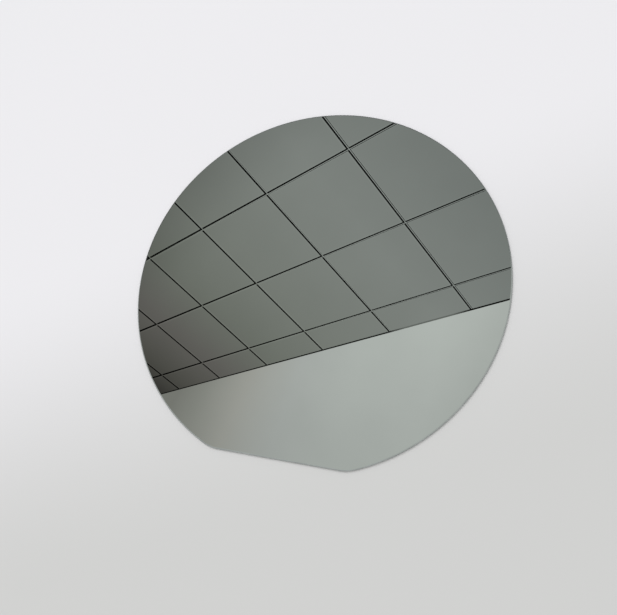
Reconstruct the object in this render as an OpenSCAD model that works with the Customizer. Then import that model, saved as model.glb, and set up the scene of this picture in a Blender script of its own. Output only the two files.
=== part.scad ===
// Silicon wafer, 100 mm, with one primary flat.
// It lies on its back with the polished face up and the primary flat towards -Y.
// The origin is the centre of the round edge's circle, on the back face.

/* [Disc] */
// Diameter of the round edge
wafer_diameter = 100; // [50:1:200]
// Thickness from the back to the polished face
wafer_thickness = 0.525; // [0.4:0.005:1.2]

/* [Primary flat] */
// How deep the flat is ground in from the round edge
flat_depth = 3.1; // [0.5:0.1:10]
// Radius that blends each end of the flat into the round edge
flat_corner_radius = 9.7; // [1:0.1:15]

/* [Ground edge] */
// Slope of the bevels that run from both faces down to the tip of the edge
bevel_angle = 22; // [10:1:45]
// Radius of the rounded tip between the two bevels
tip_radius = 0.2; // [0.05:0.01:0.26]

/* [Hidden] */
$fn = 180;

silicon_grey = [0.65, 0.68, 0.66];
clip_margin = 1;   // how far a clipping plate stands out of both faces
clip_reach = 2;    // how many times further out than a corner's centre the flat's sector ends

wafer_radius = wafer_diameter / 2;
half_thickness = wafer_thickness / 2;

// The tip is an arc that both bevels meet as tangents.
tip_half_height = tip_radius * cos(bevel_angle);
tip_inset = tip_radius * (1 - sin(bevel_angle));
bevel_inset = tip_inset + (half_thickness - tip_half_height) / tan(bevel_angle);

// The plate's section and the edge's overlap, and their ends keep clear of each other.
plate_inset = 2 * bevel_inset;
edge_depth = 3 * bevel_inset;

// Each corner's arc touches the round edge from inside and the flat at its end.
flat_distance = wafer_radius - flat_depth;
corner_y = flat_distance - flat_corner_radius;
corner_x = sqrt(pow(wafer_radius - flat_corner_radius, 2) - pow(corner_y, 2));

// The ground edge in section, with its outermost point at the origin.
module edge_section() {
    polygon([
        [-edge_depth, -half_thickness],
        [-bevel_inset, -half_thickness],
        [-tip_inset, -tip_half_height],
        [-tip_inset, tip_half_height],
        [-bevel_inset, half_thickness],
        [-edge_depth, half_thickness]
    ]);
    translate([-tip_radius, 0]) circle(tip_radius);
}

// Half of the wafer's section: plate from x = 0, with the ground edge ending at x = reach.
module half_section(reach) {
    square([reach - plate_inset, wafer_thickness]);
    translate([reach, half_thickness]) edge_section();
}

module ground_disc(radius) rotate_extrude() half_section(radius);

module clipping_plate(outline)
    translate([0, 0, -clip_margin])
        linear_extrude(wafer_thickness + 2 * clip_margin) polygon(outline);

// Sector between the rays that run from the origin through the two corners' centres.
module flat_sector()
    clipping_plate([[0, 0], clip_reach * [corner_x, -corner_y], clip_reach * [-corner_x, -corner_y]]);

// Band that is as wide as the straight part of the flat.
module flat_band()
    clipping_plate([
        [-corner_x, 0], [corner_x, 0], [corner_x, -wafer_diameter], [-corner_x, -wafer_diameter]
    ]);

// The section carried straight along the flat.
module flat_run()
    intersection() {
        flat_band();
        rotate([90, 0, -90])
            linear_extrude(wafer_diameter, center = true) half_section(flat_distance);
    }

// The section turned round one corner of the flat.
module flat_corner(side)
    difference() {
        translate([side * corner_x, -corner_y, 0]) ground_disc(flat_corner_radius);
        flat_band();
    }

module wafer()
    color(silicon_grey) {
        difference() {
            ground_disc(wafer_radius);
            flat_sector();
        }
        intersection() {
            flat_sector();
            union() {
                flat_run();
                for (side = [-1, 1]) flat_corner(side);
            }
        }
    }

wafer();
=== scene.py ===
from math import atan2, cos, pi, radians, sin, sqrt, tan

import bpy
from mathutils import Matrix, Quaternion, Vector


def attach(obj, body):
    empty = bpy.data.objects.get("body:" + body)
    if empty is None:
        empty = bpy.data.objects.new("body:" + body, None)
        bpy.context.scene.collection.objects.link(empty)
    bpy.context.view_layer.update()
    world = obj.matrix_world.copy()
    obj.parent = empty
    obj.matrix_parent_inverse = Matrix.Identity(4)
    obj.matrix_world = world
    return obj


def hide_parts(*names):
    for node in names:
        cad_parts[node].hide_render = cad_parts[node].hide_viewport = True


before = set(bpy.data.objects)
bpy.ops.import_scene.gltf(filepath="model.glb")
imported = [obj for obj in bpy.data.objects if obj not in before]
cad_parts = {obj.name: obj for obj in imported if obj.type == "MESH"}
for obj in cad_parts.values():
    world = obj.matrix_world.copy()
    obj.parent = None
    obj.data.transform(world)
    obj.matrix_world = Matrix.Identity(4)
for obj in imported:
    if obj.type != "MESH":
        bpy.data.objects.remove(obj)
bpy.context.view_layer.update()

mm = 0.001


def toLinear(hexCode):
    # sRGB hex to linear RGBA, by the standard curve
    channels = [int(hexCode[i:i + 2], 16) / 255 for i in (1, 3, 5)]
    return [c / 12.92 if c <= 0.04045 else ((c + 0.055) / 1.055) ** 2.4 for c in channels] + [1.0]


def addNode(tree, kind, settings, links=None):
    # A setting is a socket's value, a ramp's stops or a property of the node.
    # A link is another node's output.
    node = tree.nodes.new(kind)
    for name, value in settings.items():
        if name == "stops":
            ramp = node.color_ramp
            while len(ramp.elements) < len(value):
                ramp.elements.new(0.5)          # it gets its own place below
            for element, (position, hexCode) in zip(ramp.elements, value):
                element.position = position
                element.color = toLinear(hexCode)
        elif isinstance(name, int) or name in node.inputs:
            node.inputs[name].default_value = value
        else:
            setattr(node, name, value)
    for name, output in (links or {}).items():
        tree.links.new(output, node.inputs[name])
    return node


def newMaterial(name):
    material = bpy.data.materials.new(name)
    material.use_nodes = True
    material.node_tree.nodes.clear()
    return material, material.node_tree


def newMesh(name, points, faces, materials, faceMaterials=None):
    mesh = bpy.data.meshes.new(name)
    mesh.from_pydata(points, [], faces)
    for material in materials:
        mesh.materials.append(material)
    if faceMaterials:
        mesh.polygons.foreach_set("material_index", faceMaterials)
    mesh.update()
    made = bpy.data.objects.new(name, mesh)
    bpy.context.scene.collection.objects.link(made)
    return made


# Finishes. Silicon is a dark grey metalloid that reflects a little over a third of the light, so
# it is shaded as a metal, with its colour as the reflectance. A noise runs from 0 to 1, and each
# range below is the part of it over which the first colour turns into the second.

polish = {
    "clearColour": "#A7ADA8", "hazeColour": "#A4AAA5",
    "clearRoughness": 0.003, "hazeRoughness": 0.012,
    "hazeWidth": 18.0,          # mm, size of the clouds that the polishing pad leaves
    "hazeDetail": 3.0,
    "hazeRange": (0.35, 0.70),
}


def polishedSilicon():
    # Chemical-mechanical polish, below a nanometre rough: a true mirror, with clouds of haze at
    # the limit of sight.
    material, tree = newMaterial("mirror-polished silicon")
    clear, hazy = polish["hazeRange"]
    place = addNode(tree, "ShaderNodeTexCoord", {})
    haze = addNode(tree, "ShaderNodeTexNoise", {
        "Scale": 1 / (polish["hazeWidth"] * mm), "Detail": polish["hazeDetail"]},
        {"Vector": place.outputs["Object"]})
    colour = addNode(tree, "ShaderNodeValToRGB", {
        "stops": [(clear, polish["clearColour"]), (hazy, polish["hazeColour"])]},
        {"Fac": haze.outputs["Fac"]})
    rough = addNode(tree, "ShaderNodeMapRange", {
        "From Min": clear, "From Max": hazy,
        "To Min": polish["clearRoughness"], "To Max": polish["hazeRoughness"]},
        {"Value": haze.outputs["Fac"]})
    shader = addNode(tree, "ShaderNodeBsdfPrincipled", {"Metallic": 1.0}, {
        "Base Color": colour.outputs["Color"], "Roughness": rough.outputs["Result"]})
    addNode(tree, "ShaderNodeOutputMaterial", {}, {"Surface": shader.outputs["BSDF"]})
    return material


grind = {
    "darkColour": "#979C99", "paleColour": "#A8ADAA",
    "lowRoughness": 0.20, "highRoughness": 0.32,
    # mm between wheel lines; a fine wheel's 0.015 mm is drawn coarser, so that it shows
    "lineSpacing": 0.05,
    "lineLength": 6.0,          # mm along the edge before a line fades
    "lineDepth": 0.004,         # mm
    "lineDetail": 4.0, "lineSharpness": 0.6, "lineBump": 0.6,
    "patchLength": 3.5,         # mm along the edge from a darker patch to a paler one
    "patchDetail": 2.0,
    "lineShare": 0.5,           # of the tone; the patches give the rest
    "toneRange": (0.35, 0.65),
}


def groundSilicon():
    # Edge ground with a resin-bonded diamond wheel: satin, a little darker than the mirror, lined
    # round the disc.
    material, tree = newMaterial("diamond-ground silicon")
    dark, pale = grind["toneRange"]
    length, spacing = grind["lineLength"] * mm, grind["lineSpacing"] * mm
    place = addNode(tree, "ShaderNodeTexCoord", {})
    stretch = addNode(tree, "ShaderNodeMapping", {
        "Scale": (1 / length, 1 / length, 1 / spacing)}, {"Vector": place.outputs["Object"]})
    lines = addNode(tree, "ShaderNodeTexNoise", {
        "Scale": 1.0, "Detail": grind["lineDetail"], "Roughness": grind["lineSharpness"]},
        {"Vector": stretch.outputs["Vector"]})
    patches = addNode(tree, "ShaderNodeTexNoise", {
        "Scale": 1 / (grind["patchLength"] * mm), "Detail": grind["patchDetail"]},
        {"Vector": place.outputs["Object"]})
    patchPart = addNode(tree, "ShaderNodeMath", {
        "operation": "MULTIPLY", 1: 1 - grind["lineShare"]}, {0: patches.outputs["Fac"]})
    tone = addNode(tree, "ShaderNodeMath", {
        "operation": "MULTIPLY_ADD", 1: grind["lineShare"]},
        {0: lines.outputs["Fac"], 2: patchPart.outputs["Value"]})
    colour = addNode(tree, "ShaderNodeValToRGB", {
        "stops": [(dark, grind["darkColour"]), (pale, grind["paleColour"])]},
        {"Fac": tone.outputs["Value"]})
    rough = addNode(tree, "ShaderNodeMapRange", {
        "From Min": dark, "From Max": pale,
        "To Min": grind["lowRoughness"], "To Max": grind["highRoughness"]},
        {"Value": tone.outputs["Value"]})
    bump = addNode(tree, "ShaderNodeBump", {
        "Strength": grind["lineBump"], "Distance": grind["lineDepth"] * mm},
        {"Height": lines.outputs["Fac"]})
    shader = addNode(tree, "ShaderNodeBsdfPrincipled", {"Metallic": 1.0}, {
        "Base Color": colour.outputs["Color"], "Roughness": rough.outputs["Result"],
        "Normal": bump.outputs["Normal"]})
    addNode(tree, "ShaderNodeOutputMaterial", {}, {"Surface": shader.outputs["BSDF"]})
    return material


etch = {
    "darkColour": "#858A88", "paleColour": "#989E9B",
    "lowRoughness": 0.34, "highRoughness": 0.48,
    "pitWidth": 0.25,           # mm; pits of about 0.03 mm are drawn coarser, so that they show
    "pitDepth": 0.006,          # mm
    "pitBump": 0.5,
    "pitRim": 0.8,              # pit widths from a pit's middle to where it is roughest
    "cloudWidth": 14.0,         # mm, where the etch ran a little longer
    "cloudDetail": 5.0,
    "toneRange": (0.35, 0.65),
}


def etchedSilicon():
    # Back lapped and then etched in acid: satin grey, with shallow rounded pits and soft clouds.
    material, tree = newMaterial("acid-etched silicon")
    dark, pale = etch["toneRange"]
    place = addNode(tree, "ShaderNodeTexCoord", {})
    pits = addNode(tree, "ShaderNodeTexVoronoi", {
        "feature": "SMOOTH_F1", "Scale": 1 / (etch["pitWidth"] * mm)},
        {"Vector": place.outputs["Object"]})
    clouds = addNode(tree, "ShaderNodeTexNoise", {
        "Scale": 1 / (etch["cloudWidth"] * mm), "Detail": etch["cloudDetail"]},
        {"Vector": place.outputs["Object"]})
    colour = addNode(tree, "ShaderNodeValToRGB", {
        "stops": [(dark, etch["darkColour"]), (pale, etch["paleColour"])]},
        {"Fac": clouds.outputs["Fac"]})
    rough = addNode(tree, "ShaderNodeMapRange", {
        "From Min": 0.0, "From Max": etch["pitRim"],
        "To Min": etch["lowRoughness"], "To Max": etch["highRoughness"]},
        {"Value": pits.outputs["Distance"]})
    bump = addNode(tree, "ShaderNodeBump", {
        "Strength": etch["pitBump"], "Distance": etch["pitDepth"] * mm},
        {"Height": pits.outputs["Distance"]})
    shader = addNode(tree, "ShaderNodeBsdfPrincipled", {"Metallic": 1.0}, {
        "Base Color": colour.outputs["Color"], "Roughness": rough.outputs["Result"],
        "Normal": bump.outputs["Normal"]})
    addNode(tree, "ShaderNodeOutputMaterial", {}, {"Surface": shader.outputs["BSDF"]})
    return material


# The wafer. Lengths are in mm and angles in degrees.

wafer = {
    "diameter": 100.0,
    "thickness": 0.525,
    "flatDepth": 3.1,
    "cornerRadius": 9.7,
    "bevelAngle": 22.0,
    "tipRadius": 0.2,
    "lipWidth": 0.03,           # the polish rolls over this far where a face meets its bevel
    "arcSteps": 720, "cornerSteps": 24, "flatSteps": 60,
    "lipSteps": 3, "bevelSteps": 2, "tipSteps": 16,
}


def steps(first, last, count):
    # the last value is left out, because the next run starts with it
    return [first + (last - first) * i / count for i in range(count)]


def outlineSpines():
    # A point of the outline is a spine point plus a reach in one direction, so an inset only
    # shortens the reach.
    radius, reach = wafer["diameter"] / 2, wafer["cornerRadius"]
    cornerY = radius - wafer["flatDepth"] - reach
    cornerX = sqrt((radius - reach) ** 2 - cornerY ** 2)
    turn = atan2(cornerX, cornerY)
    flatWay = 1.5 * pi          # the flat looks towards -Y
    spines = [(0.0, 0.0, radius, way)
              for way in steps(turn - pi / 2, flatWay - turn, wafer["arcSteps"])]
    spines += [(-cornerX, -cornerY, reach, way)
               for way in steps(flatWay - turn, flatWay, wafer["cornerSteps"])]
    spines += [(x, -cornerY, reach, flatWay)
               for x in steps(-cornerX, cornerX, wafer["flatSteps"])]
    spines += [(cornerX, -cornerY, reach, way)
               for way in steps(flatWay, flatWay + turn, wafer["cornerSteps"])]
    return spines


def edgeProfile():
    # Inset from the tip and height over the middle, from the front face over the tip to the back.
    half, slope, tip = wafer["thickness"] / 2, radians(wafer["bevelAngle"]), wafer["tipRadius"]
    tipInset, tipHeight = tip * (1 - sin(slope)), tip * cos(slope)
    bevelInset = tipInset + (half - tipHeight) / tan(slope)
    roll = wafer["lipWidth"] / tan(slope / 2)
    lip = [(bevelInset + wafer["lipWidth"] - roll * sin(a), half - roll + roll * cos(a))
           for a in steps(0.0, slope, wafer["lipSteps"])]
    topInset = bevelInset - wafer["lipWidth"] * cos(slope)
    topHeight = half - wafer["lipWidth"] * sin(slope)
    bevel = [(topInset + (tipInset - topInset) * t, topHeight + (tipHeight - topHeight) * t)
             for t in steps(0.0, 1.0, wafer["bevelSteps"])]
    quarter = [(tip * (1 - cos(a)), tip * sin(a))
               for a in steps(pi / 2 - slope, 0.0, wafer["tipSteps"] // 2)]
    upper = lip + bevel + quarter
    return upper + [(0.0, 0.0)] + [(inset, -height) for inset, height in reversed(upper)]


def buildWafer():
    spines, profile = outlineSpines(), edgeProfile()
    count, half = len(spines), wafer["thickness"] / 2
    points = []
    for inset, height in profile:
        for x, y, reach, way in spines:
            out = reach - inset
            points.append(((x + out * cos(way)) * mm, (y + out * sin(way)) * mm,
                           (half + height) * mm))
    mirror, ground, etched = 0, 1, 2
    faces, finish = [list(range(count))], [mirror]
    for ring in range(len(profile) - 1):
        here, below = ring * count, (ring + 1) * count
        for i in range(count):
            j = (i + 1) % count
            faces.append([here + j, here + i, below + i, below + j])
            finish.append(mirror if ring < wafer["lipSteps"] else ground)   # the lip is polished
    faces.append([len(points) - 1 - i for i in range(count)])
    finish.append(etched)
    made = newMesh("silicon_wafer", points, faces,
                   [polishedSilicon(), groundSilicon(), etchedSilicon()], finish)
    for face in made.data.polygons:
        face.use_smooth = len(face.vertices) == 4       # the two flat faces stay exactly flat
    return made


waferPiece = buildWafer()
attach(waferPiece, "root")
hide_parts("wafer")
print("wafer built:", len(waferPiece.data.polygons), "faces")


# Stage: a pale floor with a painted shade, and the corner of a room that only the polished face
# sees, glowing with painted daylight.

floor = {
    "size": 8.0,                # metres
    "drop": 0.01,               # mm under the wafer, so that the two faces don't coincide
    # painted shade: the near colour is greyer, as if less light fell on that side
    "nearShadeColour": "#D2D2D0", "farColour": "#EDECEE", "roundColour": "#E6E7E8",
    "shadeWay": 24.5,            # degrees that the way of the painted shade turns from +Y towards -X
    # mm along that way, between which one colour turns into the other
    "near": -58.0, "far": 30.0,
    # mm from the wafer's middle, between which the last colour takes over all round
    "roundFrom": 100.0, "roundTo": 350.0,
}


def layFloor():
    # Board rolled with matt white paint: no gloss. A painted shade grades it from pale to light
    # grey, greyer towards -Y, as if less light fell there.
    material, tree = newMaterial("matt white board with painted shade")
    turn = radians(floor["shadeWay"])
    place = addNode(tree, "ShaderNodeTexCoord", {})
    reach = addNode(tree, "ShaderNodeVectorMath", {
        "operation": "DOT_PRODUCT", 1: (-sin(turn), cos(turn), 0.0)},
        {0: place.outputs["Object"]})
    along = addNode(tree, "ShaderNodeMapRange", {
        "interpolation_type": "SMOOTHSTEP",
        "From Min": floor["near"] * mm, "From Max": floor["far"] * mm},
        {"Value": reach.outputs["Value"]})
    # in a colour mix, sockets 6 and 7 are the colours, and output 2 is the result
    colour = addNode(tree, "ShaderNodeMix", {
        "data_type": "RGBA",
        6: toLinear(floor["nearShadeColour"]), 7: toLinear(floor["farColour"])},
        {0: along.outputs["Result"]})
    away = addNode(tree, "ShaderNodeVectorMath", {"operation": "LENGTH"}, {
        "Vector": place.outputs["Object"]})
    share = addNode(tree, "ShaderNodeMapRange", {
        "interpolation_type": "SMOOTHSTEP",
        "From Min": floor["roundFrom"] * mm, "From Max": floor["roundTo"] * mm},
        {"Value": away.outputs["Value"]})
    blend = addNode(tree, "ShaderNodeMix", {
        "data_type": "RGBA", 7: toLinear(floor["roundColour"])},
        {0: share.outputs["Result"], 6: colour.outputs[2]})
    shader = addNode(tree, "ShaderNodeBsdfDiffuse", {}, {"Color": blend.outputs[2]})
    addNode(tree, "ShaderNodeOutputMaterial", {}, {"Surface": shader.outputs["BSDF"]})
    s, z = floor["size"] / 2, -floor["drop"] * mm
    newMesh("floor", [(-s, -s, z), (s, -s, z), (s, s, z), (-s, s, z)], [[0, 1, 2, 3]], [material])


room = {
    "origin": (-0.6830, 1.5495, 2.3016),        # metres, where two ceiling bars cross
    "tileWay": (-0.5135, -0.1099, 0.2901),      # metres, one tile along the wall
    "crossWay": (0.2685, -0.1896, 0.4036),      # metres, one tile towards the wall
    # first and last tile each way; the wall stands at the last one
    "tiles": (-9.0, 9.0, -9.0, 2.417),
    "wallHeight": 2.6,                          # metres
    # Strips along every tile edge, each drawn over the one before: from and to how many mm beside
    # the edge, counted along the wall or away from it, at tile 0 and at endTile, and how bright
    # against the tiles. They are the rolled rims of the tiles, the shaded gap round each tile and
    # the white steel bar in the gap.
    "strips": [
        {"start": (-15.0, 10.0), "end": (-20.5, 15.0), "level": 1.10},
        {"start": (-11.0, 4.0), "end": (-10.0, 9.1), "level": 0.02},
        {"start": (-8.0, -4.2), "end": (-13.8, -8.2), "level": 1.30},
    ],
    "endTile": 5.0,
    "stretch": 1.25,            # bars that run towards the wall are this much wider
    "trimWidth": 12.5,          # mm, joint between ceiling and wall
    # Brightness falls off away from that joint: along which way, from and to how many metres.
    "ceilingFall": {"way": (-0.20, 1.00, 0.00), "metres": (-0.95, -0.03), "levels": (0.50, 1.00)},
    "wallFall": {"way": (0.00, 0.00, 1.00), "metres": (-1.00, 0.00), "levels": (0.98, 1.12)},
    # Tiles along the wall, and the tone there: colour and painted daylight together, which falls
    # off along the wall. The joint is filled, and so pale, for one tile.
    "trimStops": [(0.0, "#121111"), (0.2, "#969795"), (0.8, "#969795"), (1.0, "#121111")],
    "ceilingStops": [(-1.0, "#AEB0B0"), (0.4, "#C1C2C1"), (1.8, "#B6B7B3"), (2.8, "#A5A6A0"),
                     (3.8, "#928C8A"), (4.8, "#75716D"), (5.6, "#4E4A48")],
    "wallStops": [(-0.4, "#F5F5F5"), (0.3, "#FFFFFF"), (1.3, "#FAFAFA"), (2.3, "#EFEEEF"),
                  (3.3, "#DFDAD7"), (4.3, "#BFBCB8"), (5.0, "#ABA8A4")],
}


def glowing(name, stops, fall=None, strips=()):
    # A tone that changes along the wall, as daylight from one side falls off. It glows, so that
    # the mirror shows it as it is, whatever the lamps do.
    material, tree = newMaterial(name)
    tileWidth, tileDepth = Vector(room["tileWay"]).length, Vector(room["crossWay"]).length
    first, last = stops[0][0], stops[-1][0]
    place = addNode(tree, "ShaderNodeTexCoord", {})
    parts = addNode(tree, "ShaderNodeSeparateXYZ", {}, {"Vector": place.outputs["Object"]})
    along = addNode(tree, "ShaderNodeMapRange", {
        "From Min": first * tileWidth, "From Max": last * tileWidth},
        {"Value": parts.outputs["X"]})
    tone = addNode(tree, "ShaderNodeValToRGB", {
        "stops": [((tile - first) / (last - first), hexCode) for tile, hexCode in stops]},
        {"Fac": along.outputs["Result"]})
    colour = tone.outputs["Color"]
    # squeezed along the wall, so that the strips that run towards it come out wider
    drawn = addNode(tree, "ShaderNodeMapping", {"Scale": (1.0 / room["stretch"], 1.0, 1.0)}, {
        "Vector": place.outputs["Object"]})
    for strip in strips:
        (a0, b0), (a1, b1) = strip["start"], strip["end"]
        widths, sums = (b0 - a0, b1 - a1), (a0 + b0, a1 + b1)
        # half the strip's width, and how far its middle lies beside the edge
        half, shift = [addNode(tree, "ShaderNodeMapRange", {
            "From Min": 0.0, "From Max": room["endTile"] * tileWidth,
            "To Min": start / 2 * mm, "To Max": end / 2 * mm},
            {"Value": parts.outputs["X"]}) for start, end in (widths, sums)]
        moved = addNode(tree, "ShaderNodeVectorMath", {
            "operation": "MULTIPLY_ADD", 1: (-1.0, 1.0, 0.0)},
            {0: shift.outputs["Result"], 2: drawn.outputs["Vector"]})
        shade = addNode(tree, "ShaderNodeVectorMath", {
            "operation": "SCALE", "Scale": strip["level"]}, {0: tone.outputs["Color"]})
        grid = addNode(tree, "ShaderNodeTexBrick", {
            "offset": 0.0, "Scale": 1.0, "Mortar Smooth": 0.0,
            "Brick Width": tileWidth / room["stretch"], "Row Height": tileDepth},
            {"Vector": moved.outputs["Vector"], "Mortar Size": half.outputs["Result"],
             "Color1": colour, "Color2": colour, "Mortar": shade.outputs["Vector"]})
        colour = grid.outputs["Color"]
    links = {"Color": colour}
    if fall:
        (a, b), (low, high) = fall["metres"], fall["levels"]
        reach = addNode(tree, "ShaderNodeVectorMath", {
            "operation": "DOT_PRODUCT", 1: fall["way"]}, {0: place.outputs["Object"]})
        level = addNode(tree, "ShaderNodeMapRange", {
            "interpolation_type": "SMOOTHSTEP",
            "From Min": a, "From Max": b, "To Min": low, "To Max": high},
            {"Value": reach.outputs["Value"]})
        links["Strength"] = level.outputs["Result"]
    glow = addNode(tree, "ShaderNodeEmission", {}, links)
    addNode(tree, "ShaderNodeOutputMaterial", {}, {"Surface": glow.outputs["Emission"]})
    return material


def standRoom():
    along, across = Vector(room["tileWay"]), Vector(room["crossWay"])
    left, right, back, wall = room["tiles"]
    x0, x1 = left * along.length, right * along.length
    y0, y1 = back * across.length, wall * across.length
    y2, drop = y1 + room["trimWidth"] * mm, -room["wallHeight"]
    points = [(x0, y0, 0), (x1, y0, 0), (x1, y1, 0), (x0, y1, 0),
              (x1, y2, 0), (x0, y2, 0), (x1, y2, drop), (x0, y2, drop)]
    # Pressed mineral-fibre tiles are matt and off-white, the joint under them lies in shade, and
    # the plaster is rolled with matt paint.
    # All three glow with painted daylight, brightest on the plaster.
    ceiling = glowing("white mineral-fibre ceiling tiles", room["ceilingStops"],
                      room["ceilingFall"], room["strips"])
    joint = glowing("shaded ceiling joint", room["trimStops"])
    plaster = glowing("white painted plaster wall", room["wallStops"], room["wallFall"])
    corner = newMesh("room_corner", points, [[0, 1, 2, 3], [3, 2, 4, 5], [5, 4, 6, 7]],
                     [ceiling, joint, plaster], [0, 1, 2])
    x, y = along.normalized(), across.normalized()
    turned = Matrix((x, y, x.cross(y))).transposed().to_4x4()
    corner.matrix_world = Matrix.Translation(room["origin"]) @ turned
    # only the mirror sees it
    corner.visible_camera = corner.visible_diffuse = corner.visible_shadow = False
    corner.visible_transmission = corner.visible_volume_scatter = False


layFloor()
standRoom()
print("floor laid and room corner placed")


# Light: an even white world and one large softbox.

light = {
    "worldLevel": 0.90,         # how strongly it lights; seen or mirrored, it stands at 1
    # by height, from the horizon up
    "skyStops": [(0.0, "#DFE1E2"), (0.12, "#E5E6E7"), (0.4, "#F0F1F2"), (1.0, "#F8F8F9")],
    "softboxAt": (-1.65, 2.25, 2.85), "softboxSize": 1.8,       # metres
    "softboxPower": 45.0,                                       # watts
}


def setWorld():
    world = bpy.data.worlds.new("even white studio")
    bpy.context.scene.world = world
    world.use_nodes = True
    tree = world.node_tree
    tree.nodes.clear()
    path = addNode(tree, "ShaderNodeLightPath", {})
    seen = addNode(tree, "ShaderNodeMath", {"operation": "MAXIMUM"}, {
        0: path.outputs["Is Camera Ray"], 1: path.outputs["Is Glossy Ray"]})
    shown = addNode(tree, "ShaderNodeMath", {"operation": "MAXIMUM"}, {
        0: seen.outputs["Value"], 1: path.outputs["Is Transmission Ray"]})
    level = addNode(tree, "ShaderNodeMapRange", {"To Min": light["worldLevel"], "To Max": 1.0}, {
        "Value": shown.outputs["Value"]})
    way = addNode(tree, "ShaderNodeTexCoord", {})
    height = addNode(tree, "ShaderNodeSeparateXYZ", {}, {"Vector": way.outputs["Generated"]})
    colour = addNode(tree, "ShaderNodeValToRGB", {"stops": light["skyStops"]}, {
        "Fac": height.outputs["Z"]})
    sky = addNode(tree, "ShaderNodeBackground", {}, {
        "Color": colour.outputs["Color"], "Strength": level.outputs["Result"]})
    addNode(tree, "ShaderNodeOutputWorld", {}, {"Surface": sky.outputs["Background"]})


def hangSoftbox():
    data = bpy.data.lights.new("softbox", "AREA")
    data.shape, data.size, data.energy = "SQUARE", light["softboxSize"], light["softboxPower"]
    box = bpy.data.objects.new("softbox", data)
    box.location = light["softboxAt"]
    box.rotation_euler = (-Vector(light["softboxAt"])).to_track_quat("-Z", "Y").to_euler()
    # it lights the floor and stays out of the mirror
    box.visible_camera = box.visible_glossy = False
    bpy.context.scene.collection.objects.link(box)


setWorld()
hangSoftbox()
bpy.context.scene.view_settings.view_transform = "Standard"
print("lights set")


# The camera. Lengths are in mm and angles in degrees; the azimuth turns from -Y towards +X.

view = {
    "frameWidth": 617, "focalLength": 577.0,    # both in pixels
    "sensorWidth": 36.0,
    "aim": (0.940, -8.280, 0.262),              # a little towards the flat from the wafer's middle
    "distance": 148.50, "clipStart": 5.0,
    "azimuth": 45.80, "elevation": 66.10, "roll": 37.75,
}


def setCamera():
    turn, rise = radians(view["azimuth"]), radians(view["elevation"])
    back = Vector((sin(turn) * cos(rise), -cos(turn) * cos(rise), sin(rise)))
    roll = Quaternion((0, 0, 1), -radians(view["roll"]))
    data = bpy.data.cameras.new("camera")
    data.sensor_width = view["sensorWidth"]
    data.lens = view["focalLength"] / view["frameWidth"] * view["sensorWidth"]
    data.clip_start = view["clipStart"] * mm
    camera = bpy.data.objects.new("camera", data)
    camera.location = (Vector(view["aim"]) + back * view["distance"]) * mm
    camera.rotation_mode = "QUATERNION"
    camera.rotation_quaternion = (-back).to_track_quat("-Z", "Y") @ roll
    bpy.context.scene.collection.objects.link(camera)
    bpy.context.scene.camera = camera


setCamera()
print("camera set")
